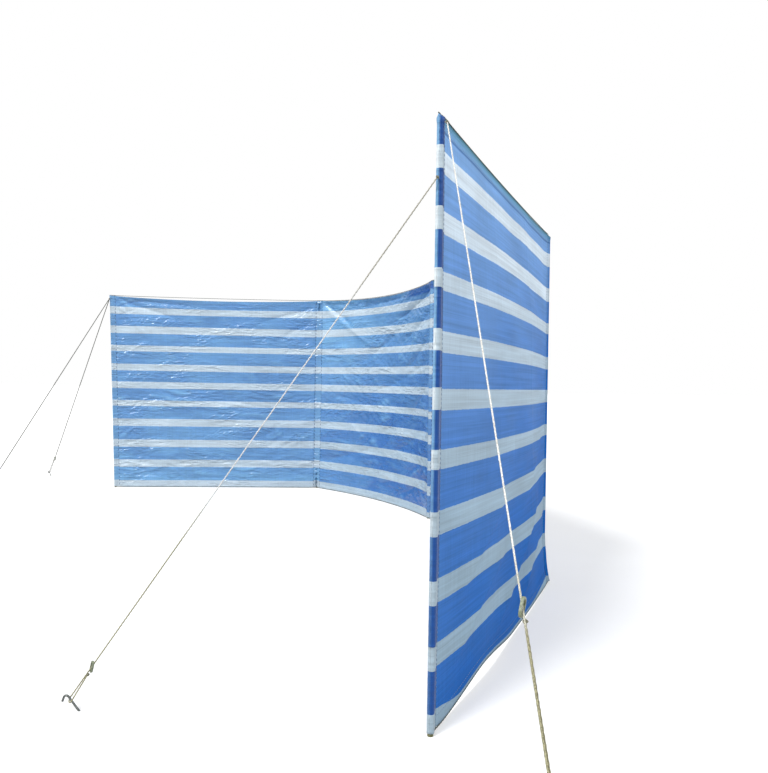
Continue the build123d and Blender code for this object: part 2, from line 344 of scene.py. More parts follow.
def add_piece(name, points, faces, materials, slot, stands_for=(), **more):
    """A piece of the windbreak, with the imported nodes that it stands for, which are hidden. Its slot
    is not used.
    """
    obj = make_object(name, points, faces, materials, **more)
    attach(obj, "root")
    if stands_for:
        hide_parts(*stands_for)
    return obj


def grid_faces(rows, columns, offset=0, wrap=False, flip=False):
    """Quads over a grid of points stored row by row."""
    i = np.arange(rows - 1)[:, None]
    j = np.arange(columns if wrap else columns - 1)
    a = i * columns + j
    b = i * columns + (j + 1) % columns
    quads = np.stack(np.broadcast_arrays(a, b, b + columns, a + columns), -1).reshape(-1, 4) + offset
    return quads[:, ::-1] if flip else quads


def shell(middle, half):
    """Points and faces of a thin closed sheet round a grid of middle points."""
    rows, columns = middle.shape[:2]
    normal = np.cross(np.gradient(middle, axis=1), np.gradient(middle, axis=0))
    normal /= np.linalg.norm(normal, axis=-1, keepdims=True)
    front = (middle + normal * half[..., None]).reshape(-1, 3)
    back = (middle - normal * half[..., None]).reshape(-1, 3)
    count = rows * columns
    index = np.arange(count).reshape(rows, columns)
    border = np.concatenate([index[0], index[1:, -1], index[-1, -2::-1], index[-2:0:-1, 0]])
    after = np.roll(border, -1)
    rim = np.stack([after, border, border + count, after + count], -1)
    faces = np.concatenate([grid_faces(rows, columns), grid_faces(rows, columns, count, flip=True), rim])
    return np.concatenate([front, back]), faces


def tube_frames(path):
    """Tangents and two steady cross directions along a path of points."""
    tangent = np.gradient(path, axis=0)
    tangent /= np.linalg.norm(tangent, axis=1, keepdims=True)
    sides = [unit(np.cross(tangent[0], UP))]
    for way in tangent[1:]:
        sides.append(unit(sides[-1] - way * (sides[-1] @ way)))
    sides = np.array(sides)
    return tangent, sides, np.cross(tangent, sides)


def spaced(path, step):
    """The path with evenly spaced points."""
    path = np.asarray(path, float)
    reach = np.concatenate([[0], np.cumsum(np.linalg.norm(np.diff(path, axis=0), axis=1))])
    where = np.linspace(0, reach[-1], max(2, int(round(reach[-1] / step)) + 1))
    return np.stack([np.interp(where, reach, path[:, k]) for k in range(3)], -1)


def laid_rope(path, radius, pitch):
    """Points and faces of a rope whose twisted strands show as lobes."""
    path = spaced(path, pitch * RING_SHARE)
    tangent, side, lift = tube_frames(path)
    count = len(path)
    turn = np.linspace(0, math.tau, ROPE_SIDES, endpoint=False)
    twist = math.tau * np.arange(count) * RING_SHARE / ROPE_STRANDS
    lobe = np.cos(ROPE_STRANDS * (turn - twist[:, None]))
    size = radius * (1 - STRAND_DEPTH / 2 + STRAND_DEPTH / 2 * lobe)
    ring = np.cos(turn)[:, None] * side[:, None] + np.sin(turn)[:, None] * lift[:, None]
    points = (path[:, None] + ring * size[..., None]).reshape(-1, 3)
    faces = grid_faces(count, ROPE_SIDES, wrap=True).tolist()
    tips = np.array([path[0] - tangent[0] * radius * 0.6, path[-1] + tangent[-1] * radius * 0.6])
    last, middle = (count - 1) * ROPE_SIDES, count * ROPE_SIDES
    for k in range(ROPE_SIDES):
        after = (k + 1) % ROPE_SIDES
        faces.append((middle, after, k))
        faces.append((middle + 1, last + k, last + after))
    return np.concatenate([points, tips]), faces


def joined(parts):
    """Several (points, faces) as one."""
    points, faces, base = [], [], 0
    for some, theirs in parts:
        points.append(np.asarray(some))
        faces += [tuple(int(i) + base for i in face) for face in theirs]
        base += len(some)
    return np.concatenate(points), faces


def outward_faces(obj):
    """Turns every face outward."""
    bpy.context.view_layer.objects.active = obj
    obj.select_set(True)
    bpy.ops.object.mode_set(mode="EDIT")
    bpy.ops.mesh.select_all(action="SELECT")
    bpy.ops.mesh.normals_make_consistent(inside=False)
    bpy.ops.object.mode_set(mode="OBJECT")
    obj.select_set(False)


# ---- Materials ---------------------------------------------------------------------------------
class Nodes:
    """A short way to build the nodes of a material or of the world."""

    def __init__(self, owner, output="ShaderNodeOutputMaterial"):
        owner.use_nodes = True
        self.owner, self.tree = owner, owner.node_tree
        self.tree.nodes.clear()
        self.output = self.add(output)

    def add(self, kind, settings=None, **inputs):
        node = self.tree.nodes.new(kind)
        for key, value in (settings or {}).items():
            setattr(node, key, value)
        for key, value in inputs.items():
            self.feed(node, key.replace("_", " "), value)
        return node

    def feed(self, node, key, value):
        """Links or sets an input, given its name or its number."""
        if isinstance(value, bpy.types.NodeSocket):
            self.tree.links.new(value, node.inputs[key])
        else:
            node.inputs[key].default_value = value

    def fed(self, node, *values):
        """The node's first output, once its first inputs have those values."""
        for key, value in enumerate(values):
            self.feed(node, key, value)
        return node.outputs[0]

    def done(self, shader):
        """The owner, with that shader as its surface."""
        self.feed(self.output, 0, shader)
        return self.owner

    def math(self, operation, a, b=0.0):
        return self.fed(self.add("ShaderNodeMath", {"operation": operation}), a, b)

    def blend(self, share, a, b):
        """A paint between two, each of which may be a written sRGB colour, 0 to 255."""
        node = self.add("ShaderNodeMix", {"data_type": "RGBA"})
        for key, given in ((0, share), (6, a), (7, b)):
            self.feed(node, key, colour(*given) if isinstance(given, tuple) else given)
        return node.outputs[2]

    def scaled(self, paint, value):
        return self.add("ShaderNodeVectorMath", {"operation": "SCALE"}, Vector=paint,
                        Scale=value).outputs[0]

    def split(self, attribute):
        vector = self.add("ShaderNodeAttribute", {"attribute_name": attribute}).outputs["Vector"]
        return vector, self.add("ShaderNodeSeparateXYZ", Vector=vector).outputs

    def grain(self, vector, scale, detail=3.0, roughness=0.55):
        """Noise of that scale, or of three scales for the three axes."""
        if isinstance(scale, tuple):
            vector, scale = self.stretched(vector, scale), 1.0
        return self.add("ShaderNodeTexNoise", Vector=vector, Scale=scale, Detail=detail,
                        Roughness=roughness).outputs[0]

    def stretched(self, vector, scale):
        return self.add("ShaderNodeMapping", Vector=vector, Scale=scale).outputs[0]

    def range(self, value, low, high, to_low, to_high):
        return self.fed(self.add("ShaderNodeMapRange"), value, low, high, to_low, to_high)

    def skin(self, paint, roughness, normal, **values):
        values.update(Base_Color=paint, Roughness=roughness, Normal=normal)
        return self.add("ShaderNodeBsdfPrincipled", **values).outputs[0]

    def mixed(self, share, a, b):
        return self.fed(self.add("ShaderNodeMixShader"), share, a, b)

    def crests(self, vector, scale):
        """Sharp crests, 1 on each and 0 between them."""
        field = self.grain(vector, scale, 2.0, 0.5)
        return self.range(self.math("ABSOLUTE", self.math("SUBTRACT", field, 0.5)), 0.0, 0.16, 1.0, 0.0)

    def bump(self, height, distance, strength, **normal):
        return self.add("ShaderNodeBump", Height=height, Distance=distance, Strength=strength,
                        **normal).outputs[0]


def colour(*written):
    """A written sRGB colour, 0 to 255, as the linear colour that Blender takes."""
    parts = [c / 255 for c in written]
    return [c / 12.92 if c <= 0.04045 else ((c + 0.055) / 1.055) ** 2.4 for c in parts] + [1.0]


def cloth_material(name, blues, whites, hem_light_and_shade, translucence, gloss, roughness, crinkle_height):
    """Striped woven sheet: flat tapes with a slight gloss that let some light through. Each colour is
    given deep and pale, and the cloth's tint picks between them: painted light and shade, with random
    tone and crest wear."""
    n = Nodes(bpy.data.materials.new(name))
    place, (along, up, stripe) = n.split("cloth_place")
    _, (blue_light_and_tone, white_light_and_tone, below) = n.split("cloth_light_and_tone")

    wander = n.grain(place, (60, 0, 0), 2.0)
    stripe = n.math("ADD", stripe, n.range(wander, 0.3, 0.7, -0.0006, 0.0006))
    ramp = n.add("ShaderNodeValToRGB")
    ramp.color_ramp.interpolation = "CONSTANT"
    for index, edge in enumerate(STRIPE_EDGES):
        element = ramp.color_ramp.elements[index] if index < 2 else ramp.color_ramp.elements.new(edge)
        element.position = edge
        shade = 1.0 if index % 2 else 0.0
        element.color = (shade, shade, shade, 1.0)
    n.feed(ramp, 0, stripe)

    # The top hem is doubled: painted a lighter teal for the light it throws back, darkening to olive at
    # the top edge, with a painted fold shadow along its lower edge
    blue = n.blend(blue_light_and_tone, *blues)
    blue = n.blend(n.range(below, 0.0, 1.05, hem_light_and_shade, 0.0), blue, (96, 160, 178))
    blue = n.blend(n.range(below, 0.0, 0.30, hem_light_and_shade * 0.8, 0.0), blue, (60, 104, 108))
    off_fold = n.math("ABSOLUTE", n.math("SUBTRACT", below, 1.06))
    blue = n.blend(n.range(off_fold, 0.0, 0.16, hem_light_and_shade * 0.9, 0.0), blue, (30, 92, 160))
    paint = n.blend(ramp.outputs[0], blue, n.blend(white_light_and_tone, *whites))

    tapes = n.grain(place, (3, 420, 0), 2.0)
    streaks = n.grain(place, (2, 110, 0), 2.0)
    threads = n.grain(place, (260, 5, 0), 2.0)
    patches = n.grain(place, (5, 14, 0), 3.0)
    tone = n.range(patches, 0.3, 0.7, 0.92, 1.04)
    for field, depth in ((tapes, 0.08), (threads, 0.05), (streaks, 0.07)):
        tone = n.math("ADD", tone, n.range(field, 0.3, 0.7, -depth, depth))
    paint = n.scaled(paint, tone)

    across_tape = n.math("SINE", n.math("MULTIPLY", up, math.tau / 0.0022))
    across_thread = n.math("SINE", n.math("MULTIPLY", along, math.tau / 0.0022))
    relief = n.bump(n.math("MULTIPLY", across_tape, across_thread), 0.00006, 0.5)
    crumple = n.grain(place, (30, 80, 0), 3.0, 0.5)
    relief = n.bump(crumple, 0.3 * crinkle_height, 0.8, Normal=relief)
    slant = n.add("ShaderNodeVectorRotate", {"rotation_type": "Z_AXIS"}, Vector=place, Angle=0.6)
    slant_crests = n.crests(slant.outputs[0], (10, 30, 0))
    slant_crests = n.math("MULTIPLY", slant_crests, n.range(patches, 0.4, 0.7, 0, 1))
    crinkle = n.math("ADD", n.crests(place, (9, 36, 0)), slant_crests)
    some_places = n.grain(place, (3, 9, 0), 2.0)
    crinkle = n.math("MULTIPLY", crinkle, n.range(some_places, 0.44, 0.58, 0.12, 1.0))
    relief = n.bump(crinkle, crinkle_height, 0.8, Normal=relief)

    skin = n.skin(paint, n.range(patches, 0.3, 0.7, roughness - 0.06, roughness + 0.08), relief,
                  Specular_IOR_Level=gloss)
    through_it = n.add("ShaderNodeBsdfTranslucent", Color=paint, Normal=relief)
    return n.done(n.mixed(translucence, skin, through_it.outputs[0]))


def plain_material(name, light, dark, scale, roughness, metallic=0.0, stretch=(1, 1, 1)):
    """One stuff with grain in its colour, roughness and surface."""
    n = Nodes(bpy.data.materials.new(name))
    place = n.stretched(n.add("ShaderNodeTexCoord").outputs["Object"], stretch)
    grain = n.grain(place, scale, 4.0)
    fine = n.grain(place, scale * 6, 3.0)
    paint = n.blend(n.range(grain, 0.35, 0.65, 0.0, 1.0), dark, light)
    return n.done(n.skin(paint, n.range(fine, 0.3, 0.7, roughness - 0.08, roughness + 0.08),
                         n.bump(fine, 0.0002, 0.6), Metallic=metallic))


def rope_material(name, light, dark, painted_shade_above=None):
    """Pale rope with a darker tone spread through it, painted shade for its grooves. It is soiled near
    the ground, and painted darker above a height, as painted shade.
    """
    n = Nodes(bpy.data.materials.new(name))
    place = n.add("ShaderNodeTexCoord").outputs["Object"]
    grain = n.grain(place, 900.0, 3.0)
    patches = n.grain(place, 24.0, 2.0)
    height = n.add("ShaderNodeSeparateXYZ", Vector=place).outputs[2]
    soil = n.range(n.math("ADD", height, n.math("MULTIPLY", patches, 0.1)), 0.40, 0.52, 1.0, 0.0)
    # The darker tone is painted shade for the grooves between the strands
    strand = n.range(grain, 0.38, 0.60, 0.0, 1.0)
    paint = n.blend(strand, dark, light)
    if painted_shade_above:
        # Painted shade: above that height the rope is painted darker
        upper_shade = n.range(height, painted_shade_above - 0.04, painted_shade_above + 0.04, 0.0, 1.0)
        paint = n.blend(upper_shade, paint, n.blend(strand, (98, 94, 78), (190, 187, 174)))
    paint = n.blend(soil, paint, n.blend(strand, (84, 82, 56), (172, 168, 134)))
    return n.done(n.skin(paint, n.range(grain, 0.3, 0.7, 0.55, 0.75), n.bump(grain, 0.0002, 0.6)))


# Painted light and shade: the near and the far bays are one sheet in two copies, their colours set apart
# for how each is lit
near_cloth = cloth_material(
    "striped_sheet", ((16, 110, 196), (152, 194, 236)), ((168, 192, 208), (226, 236, 244)),
    hem_light_and_shade=0.75, translucence=0.36, gloss=0.02, roughness=0.5, crinkle_height=0.0002)
far_cloth = cloth_material(
    "striped_sheet_far", ((36, 102, 184), (138, 194, 232)), ((172, 194, 208), (210, 224, 234)),
    hem_light_and_shade=0.15, translucence=0.30, gloss=0.8, roughness=0.26, crinkle_height=0.0042)
# The first pole's pocket: doubled cloth that lets little light through, its deeper colours painted shade
pocket_cloth = cloth_material(
    "pocket_sheet", ((8, 66, 136), (118, 166, 208)), ((150, 170, 184), (220, 230, 236)),
    hem_light_and_shade=0.0, translucence=0.06, gloss=0.3, roughness=0.4, crinkle_height=0.002)
edge_cord = plain_material("edge_cord", (66, 76, 68), (26, 34, 30), 900, 0.7)
front_rope = rope_material("front_guy_rope", (246, 246, 243), (150, 148, 136))
side_rope = rope_material("side_guy_rope", (240, 242, 244), (156, 156, 152), 0.84)
# Painted shade: the far ropes are the same pale rope, painted dark olive
shaded_far_rope = plain_material("far_guy_rope", (76, 78, 60), (36, 38, 28), 900, 0.7)
knot_rope = plain_material("knot_rope", (146, 144, 124), (78, 78, 60), 900, 0.7)
steel = plain_material("pole_steel", (196, 199, 202), (160, 164, 168), 220, 0.34, 0.8,
                       stretch=(1, 1, 0.1))
spike_stuff = plain_material("spike", (116, 116, 74), (76, 78, 48), 260, 0.55)
cap_stuff = plain_material("cap", (44, 48, 50), (26, 29, 31), 300, 0.5)
peg_stuff = plain_material("peg_wire", (120, 124, 122), (70, 74, 70), 340, 0.36, 0.9)
runner_stuff = plain_material("runner", (128, 136, 110), (88, 96, 74), 260, 0.42)
# Dark thread of the bold inner seam stitches, partly painted shade of the seam puckers
navy_thread_and_pucker_shade = plain_material("navy_thread_and_pucker_shade", (40, 66, 124), (20, 38, 84), 500, 0.7)
pale_thread = plain_material("pale_thread", (150, 168, 196), (104, 128, 166), 500, 0.7)


# ---- The cloth bays ----------------------------------------------------------------------------
# Folds of each bay: from and to, as (along, up) in metres, then the width of the gentle flank on the
# left, that of the steep flank on the right, and the height
BAY_FOLDS = (
    (
        ((0.40, 0.02), (1.05, 0.39), 0.085, 0.016, 0.013),
        ((0.06, 0.07), (0.58, 0.29), 0.060, 0.014, 0.008),
        ((0.10, 0.20), (0.56, 0.44), 0.060, 0.014, 0.007),
        ((0.70, 0.02), (1.18, 0.28), 0.060, 0.018, 0.010),
        ((0.62, 0.30), (1.14, 0.56), 0.070, 0.020, 0.006),
        ((0.50, 1.08), (1.15, 0.86), 0.050, 0.030, -0.004),
    ),
    (
        ((0.15, 0.05), (0.90, 0.55), 0.050, 0.020, 0.008),
        ((0.30, 1.10), (1.00, 0.55), 0.045, 0.020, -0.007),
    ),
    (
        ((1.24, 1.20), (0.90, 0.98), 0.010, 0.022, 0.024),
        ((1.24, 1.17), (0.70, 0.84), 0.018, 0.040, -0.015),
        ((1.22, 1.10), (0.30, 1.165), 0.016, 0.030, 0.019),
        ((-0.10, 1.20), (0.62, 0.99), 0.014, 0.040, 0.024),
        ((-0.08, 1.10), (0.55, 0.86), 0.016, 0.030, 0.021),
        ((0.98, 0.74), (0.25, 1.06), 0.016, 0.030, 0.015),
        ((-0.06, 0.98), (0.46, 0.72), 0.014, 0.026, 0.018),
        ((0.86, 0.58), (0.02, 0.80), 0.016, 0.030, 0.015),
        ((0.46, 0.40), (-0.05, 0.78), 0.012, 0.024, 0.019),
        ((0.60, 0.24), (-0.02, 0.47), 0.016, 0.026, 0.015),
        ((1.16, 0.60), (0.62, 0.50), 0.012, 0.022, 0.012),
        ((1.20, 0.16), (0.66, 0.30), 0.020, 0.030, 0.011),
        ((0.42, 0.04), (-0.04, 0.22), 0.014, 0.026, 0.015),
    ),
    (
        ((1.25, 1.18), (0.80, 1.02), 0.010, 0.020, 0.012),
        ((1.25, 1.17), (0.98, 0.86), 0.010, 0.020, -0.008),
        ((1.25, 1.18), (0.62, 1.12), 0.010, 0.018, 0.009),
        ((-0.03, 0.02), (0.40, 0.20), 0.016, 0.026, 0.007),
        ((1.24, 0.00), (0.80, 0.16), 0.016, 0.026, 0.007),
        ((-0.03, 1.16), (0.42, 1.02), 0.012, 0.024, 0.009),
        ((-0.03, 1.10), (0.34, 0.88), 0.012, 0.024, 0.006),
        ((0.10, 0.055), (1.05, 0.050), 0.010, 0.014, 0.004),
    ),
)
# How strongly each bay is crinkled
CRINKLES = (0.20, 0.6, 1.3, 1.7)
# and how far its inward crests are painted paler, partly wear and partly painted highlight; the outward
# ones are painted darker by a part of it, as painted shade
CREST_WEAR_AND_SHADE = (0.05, 0.15, 0.40, 0.35)
CREST_WEAR_AND_SHADE_RANGE = (-0.35, 1)


def crinkles(along, up, angle, seed):
    """Sharp crinkles that run along the turned axis."""
    x = along * math.cos(angle) + up * math.sin(angle)
    y = up * math.cos(angle) - along * math.sin(angle)
    x = x + 0.06 * noise(x * 5, y * 7, seed)
    y = y + 0.012 * noise(x * 8, y * 11, seed + 1)
    coarse = ridged(x * 4.5, y * 24, seed + 2) * 0.0020
    return coarse + ridged(x * 9, y * 46, seed + 3) * 0.0010


def fine_wrinkles(bay, s, t):
    """The crinkles of the cloth, outward."""
    along, up = s * bay_length(bay), t * cloth_height
    seed = 17 * bay + 3
    patches = smooth(-0.15, 0.45, noise(along * 2.6, up * 5.5, seed + 4))
    slanted = smooth(0.1, 0.5, noise(along * 2.0, up * 2.6, seed + 9) + (0.5 * t if bay == 2 else 0))
    lively = patches
    if bay == 3:
        lively = np.maximum(0.35 * patches, np.maximum(bump(0.46, 0.10, t), bump(0.12, 0.09, t)))
    total = (0.15 + 0.85 * lively) * crinkles(along, up, 0.03, seed + 20) * (1 - 0.6 * slanted)
    for angle, salt in ((0.55, 30), (-0.45, 40)):
        total = total + slanted * 0.7 * crinkles(along, up, angle, seed + salt)
    return CRINKLES[bay] * total


def wrinkles(bay, s, t):
    """How far the cloth stands outward of its plain belly."""
    along, up = s * bay_length(bay), t * cloth_height
    near, far = pole_distances(bay, s)
    free = smooth(LIP_LENGTH, 0.05, near) * smooth(LIP_LENGTH, 0.05, far)
    edges = smooth(0.0, 0.02, t) * (1 - smooth(0.98, 1.0, t))
    seed = 17 * bay + 3
    total = noise(along * 2.2, up * 3.0, seed) * 0.004 + noise(along * 5, up * 7, seed + 1) * 0.0018
    total = total + fine_wrinkles(bay, s, t)
    # Puckers run in from the seams at both poles
    for distance, salt in ((near, 7), (far, 8)):
        pucker = ridged(distance * 9, up * 36, seed + salt) * 0.0016
        total = total + pucker * np.exp(-np.maximum(distance, 0) / 0.035)
    # The folds of its packing, at the thirds of the bay
    for third in (1 / 3, 2 / 3):
        line = third * bay_length(bay)
        total = total + crease(along, up, (line, -0.5), (line + 0.002, cloth_height + 0.5), 0.008, 0.008,
                               0.0016)
    for fold in BAY_FOLDS[bay]:
        total = total + crease(along, up, *fold)
    return total * free * (0.3 + 0.7 * edges)


def bay_rows(count):
    """Heights of the rows of points, with a pair at each hem's edge."""
    hem, step = HEM_DEPTH / cloth_height, 0.0008 / cloth_height
    marks = [hem - step, hem + step, 1 - hem - step, 1 - hem + step]
    return np.unique(np.concatenate([np.linspace(0, 1, count), marks]))


def bay_surface(bay, s, t):
    """The middle of the finished cloth."""
    return bay_point(bay, s, t) + outward(bay) * wrinkles(bay, s, t)[..., None]


def cloth_bay(bay):
    """One bay of the cloth, seam to seam, with its hems."""
    along_count, up_count = GRIDS[bay]
    columns = np.linspace(seam_share(bay, 0), seam_share(bay, 1), along_count)
    s, t = np.meshgrid(columns, bay_rows(up_count))
    from_edge = np.minimum(t, 1 - t) * cloth_height
    in_hem = 1 - smooth(HEM_DEPTH - 0.0009, HEM_DEPTH + 0.0009, from_edge)
    points, faces = shell(bay_surface(bay, s, t), CLOTH_THICKNESS / 2 + HEM_EXTRA * in_hem)
    place = np.stack([s * bay_length(bay), t * cloth_height, stripe_place(bay, s, t)], -1).reshape(-1, 3)
    # Crest tint: inward crests painted paler, partly wear and partly painted highlight, outward crests
    # painted darker as painted shade
    crest_wear_and_shade = CREST_WEAR_AND_SHADE[bay] * np.clip(-fine_wrinkles(bay, s, t) / 0.004, *CREST_WEAR_AND_SHADE_RANGE)
    tint = light_and_tone_place(bay, s, t, crest_wear_and_shade).reshape(-1, 3)
    return add_piece(f"striped_bay_{bay + 1}", points, faces, [far_cloth if bay > 1 else near_cloth],
                     "striped_cloth", [f"cloth_bay_{bay + 1}"], place=np.concatenate([place, place]),
                     tint=np.concatenate([tint, tint]))


bays = [cloth_bay(bay) for bay in range(BAYS)]


# ---- The pockets -------------------------------------------------------------------------------
def half_section(axis, first, last, side, radius, lips):
    """Half of a pocket's section in plan: from its first seam round one side of the pole to its last.
    side is 1 for the half that turns left on its way, and lips are the lengths past the seams."""
    ways = [unit(end - axis) for end in (first, last)]
    reaches = [np.linalg.norm(end - axis) for end in (first, last)]
    angles = [math.atan2(way[1], way[0]) for way in ways]
    turn = (angles[1] - angles[0]) * side % math.tau
    touches = [math.acos(min(1.0, radius / reach)) for reach in reaches]
    sweep = turn - touches[0] - touches[1]
    start = angles[0] + side * touches[0]
    arc = [axis + radius * np.array([math.cos(angle), math.sin(angle)])
           for angle in start + side * sweep * np.linspace(0, 1, HALF_SECTION - 6)]
    lip_points = []
    for end, way, length, sign in zip((first, last), ways, lips, (side, -side)):
        off = sign * (CLOTH_THICKNESS / 2 + 0.0001) * np.array([-way[1], way[0]])
        lip = way * length
        lip_points.append([end + lip + off * 0.3, end + lip * 0.8 + off, end + off])
    return np.array(lip_points[0] + arc + lip_points[1][::-1])


# How far each inner strip's stripes are off those of the bays, at its bottom end
STRIP_SHIFTS = (0.004, 0.006, -0.010, 0.004, 0.003)


def pocket_section(pole, step, cap_high):
    """One level row of a pocket: its points, their places on the cloth and their tints."""
    joins = (pole > 0, pole < POLES - 1)
    ends = ((max(pole - 1, 0), float(joins[0])), (min(pole, BAYS - 1), float(not joins[1])))
    t = min(step, 1.0)
    z = cloth_low + step * cloth_height
    axis = pole_at(pole, z)[:2]
    outer_axis = foot_line(pole, t)[:2] + (axis - pole_at(pole, cloth_low + t * cloth_height)[:2])
    seams = [bay_point(bay, seam_share(bay, 1 - k), t)[:2] if joins[k] else None
             for k, (bay, _) in enumerate(ends)]
    for k in (0, 1):
        if not joins[k]:
            seams[k] = axis + unit(axis - seams[1 - k]) * POCKET_RADIUS * 1.02
    lips = [LIP_LENGTH * join for join in joins]
    room = CAP_ROOM * float(smooth(cap_high - 0.014, cap_high - 0.008, z))
    puffs = [1.03 + 0.04 * float(noise(z * 60, pole * 9.7 + k, 41)) + 0.03 * float(noise(z * 130, k, 43))
             for k in (0, 1)]
    if all(joins):
        puffs[0] = 1.0
    outer = half_section(outer_axis, *seams, 1, POCKET_RADIUS * puffs[0] + room, lips)
    inner = half_section(axis, *seams, -1, POCKET_RADIUS * puffs[1] + room, lips)
    ring = np.concatenate([outer, inner[::-1]])
    way = unit(seams[1] - seams[0])
    to_outer = np.array([way[1], -way[0]])
    # Above the cap the pocket closes to a ridge, a little to the inner side
    flat = float(np.clip((z - cap_high) / (cloth_high + TOP_RISE - cap_high), 0, 1))
    aside, ahead = (ring - axis) @ to_outer, (ring - axis) @ way
    lean_in = RIDGE_OFFSET * (1 - smooth(0.25, 1.0, np.abs(ahead) / pocket_reach(pole)))
    ring = ring + np.outer(-aside * flat * 0.94 - lean_in * flat, to_outer)

    stripe_before, stripe_after = (float(stripe_place(bay, np.array(s), np.array(t))) for bay, s in ends)
    shift = STRIP_SHIFTS[pole] * (t if pole == 0 else 1 - t)
    outer_stripes = np.linspace(stripe_before, stripe_after, HALF_SECTION)
    stripes = np.concatenate([outer_stripes + (0 if all(joins) else shift),
                              np.full(HALF_SECTION, stripe_after + shift)])
    tint = np.repeat([light_and_tone_place(bay, s, t) for bay, s in ends], HALF_SECTION, axis=0)
    if pole == 0:
        # Painted light and shade: the first pole's pocket is painted paler on its side towards the lamp
        # and deeper on the side away, its white also paler towards the top
        sunward = smooth(0.1, 0.7, (ring - axis) @ level(PAINTED_LIT_BEARING)[:2] / POCKET_RADIUS)
        tint[:, 0] = sunward * (0.2 + 0.8 * float(smooth(0.15, 0.6, t)))
        tint[:, 1] = 0.35 * t + 0.65 * tint[:, 0]
        tint[:, 2] = 3
    elif pole == FLARED_POLE:
        # Painted shade: the second pole's pocket is painted deeper on its side turned from the light
        tint[:, :2] -= 0.8 * smooth(0.5, 0.95, (ring - axis)[:, :1] / POCKET_RADIUS)
    return (np.column_stack([ring, np.full(len(ring), z)]),
            np.column_stack([ahead, np.full(len(ring), z - cloth_low), stripes]), tint)


def pocket(pole):
    """The cloth sewn double round a pole, with a closed top. The half on the outer side of a middle
    pole is the bays' own cloth, and the other half is a strip sewn on."""
    cap_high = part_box(f"pole_cap_{pole + 1}")[1].z + 0.0006
    above = 1 + np.linspace(0.25, 1, 4) * TOP_RISE / cloth_height
    steps = np.concatenate([np.linspace(0, 1, POCKET_ROWS), above])
    sections = [pocket_section(pole, step, cap_high) for step in steps]
    rows, places, tints = (np.array(part) for part in zip(*sections))
    count, around = rows.shape[:2]

    # The bore that the pole stands in, closed over the cap
    start = rows[0, :, :2] - pole_at(pole, cloth_low)[:2]
    turn = np.arctan2(start[:, 1], start[:, 0])
    turns = np.column_stack([np.cos(turn), np.sin(turn), np.zeros(around)])
    heights = [cloth_low] + [cap_high - depth for depth in BORE_DEPTHS]
    bore = [pole_at(pole, z) + (POCKET_BORE + CAP_ROOM * room) * turns
            for z, room in zip(heights, BORE_ROOMS)]
    points = np.concatenate([rows.reshape(-1, 3), *bore, [pole_at(pole, heights[-1])]])

    base, last = count * around, (count - 1) * around
    last_bore, centre = base + (len(bore) - 1) * around, len(points) - 1
    wall = grid_faces(count, around, wrap=True).tolist()
    faces = wall + grid_faces(len(bore), around, base, wrap=True, flip=True).tolist()
    for k in range(around):
        following = (k + 1) % around
        faces.append((following, k, base + k, base + following))
        faces.append((last_bore + k, last_bore + following, centre))
    for k in range(HALF_SECTION - 1):
        faces.append((last + k, last + k + 1, last + around - 2 - k, last + around - 1 - k))
    is_end = pole in (0, POLES - 1)
    slots = [0 if is_end or f[0] % around >= HALF_SECTION - 1 else 1 for f in wall]
    slots += [0] * (len(faces) - len(slots))

    spare = len(points) - base
    place, tint = (np.concatenate([part.reshape(-1, 3), np.repeat(part[:1, 0], spare, axis=0)])
                   for part in (places, tints))
    materials = [pocket_cloth if pole == 0 else far_cloth, near_cloth if pole < 2 else far_cloth]
    obj = add_piece(f"sewn_pocket_{pole + 1}", points, faces, materials, "pocket_cloth",
                    [f"pole_pocket_{pole + 1}"], place=place, tint=tint, slots=slots)
    outward_faces(obj)


for pole in range(POLES):
    pocket(pole)


# ---- Stitches ----------------------------------------------------------------------------------
def stitches(points, normals, length, thick):
    """Short threads centred on the points, each lying along the line of points."""
    ways = np.gradient(points, axis=0)
    ways /= np.linalg.norm(ways, axis=1, keepdims=True)
    sides = np.cross(ways, normals)
    parts = []
    for point, way, side, normal in zip(points, ways, sides, normals):
        rings = [point - way * length / 2]
        for share, size in ((-0.32, 0.85), (0.0, 1.0), (0.32, 0.85)):
            centre = point + way * length * share + normal * thick * 0.5 * (1 - abs(share))
            rings += [centre + size * thick * sloped(side, normal, angle) for angle in (0, 90, 180, 270)]
        rings.append(point + way * length / 2)
        faces = []
        for k in range(4):
            after = (k + 1) % 4
            faces.append((0, 1 + after, 1 + k))
            faces += [(r + k, r + after, 4 + r + after, 4 + r + k) for r in (1, 5)]
            faces.append((13, 9 + k, 9 + after))
        parts.append((rings, faces))
    return joined(parts)


def stitch_row(bay, s, t, sign, off, stitch):
    """Stitches on a bay, that far off its middle: outside for sign 1, inside for sign -1."""
    normals = np.repeat([outward(bay) * sign], len(s), axis=0)
    return stitches(bay_surface(bay, s, t) + normals * off, normals, *stitch)


def seam_stitches(bay, end, sign):
    """A row of stitches along a pocket's seam."""
    count = int(cloth_height / (STITCH_PITCH if sign > 0 else BOLD_PITCH)) - 1
    share = seam_share(bay, end) + (1 - 2 * end) * LIP_LENGTH / 2 / bay_length(bay)
    return stitch_row(bay, np.full(count, share), np.linspace(0.014, 0.986, count), sign,
                      CLOTH_THICKNESS / 2 + 0.0003, STITCH if sign > 0 else BOLD_STITCH)


def hem_stitches(bay, t, sign):
    """A row of stitches along a hem."""
    count = int((bay_length(bay) - 0.07) / STITCH_PITCH)
    s = np.linspace(seam_share(bay, 0) + 0.008, seam_share(bay, 1) - 0.008, count)
    return stitch_row(bay, s, np.full(count, t), sign, CLOTH_THICKNESS / 2 + HEM_EXTRA, STITCH)


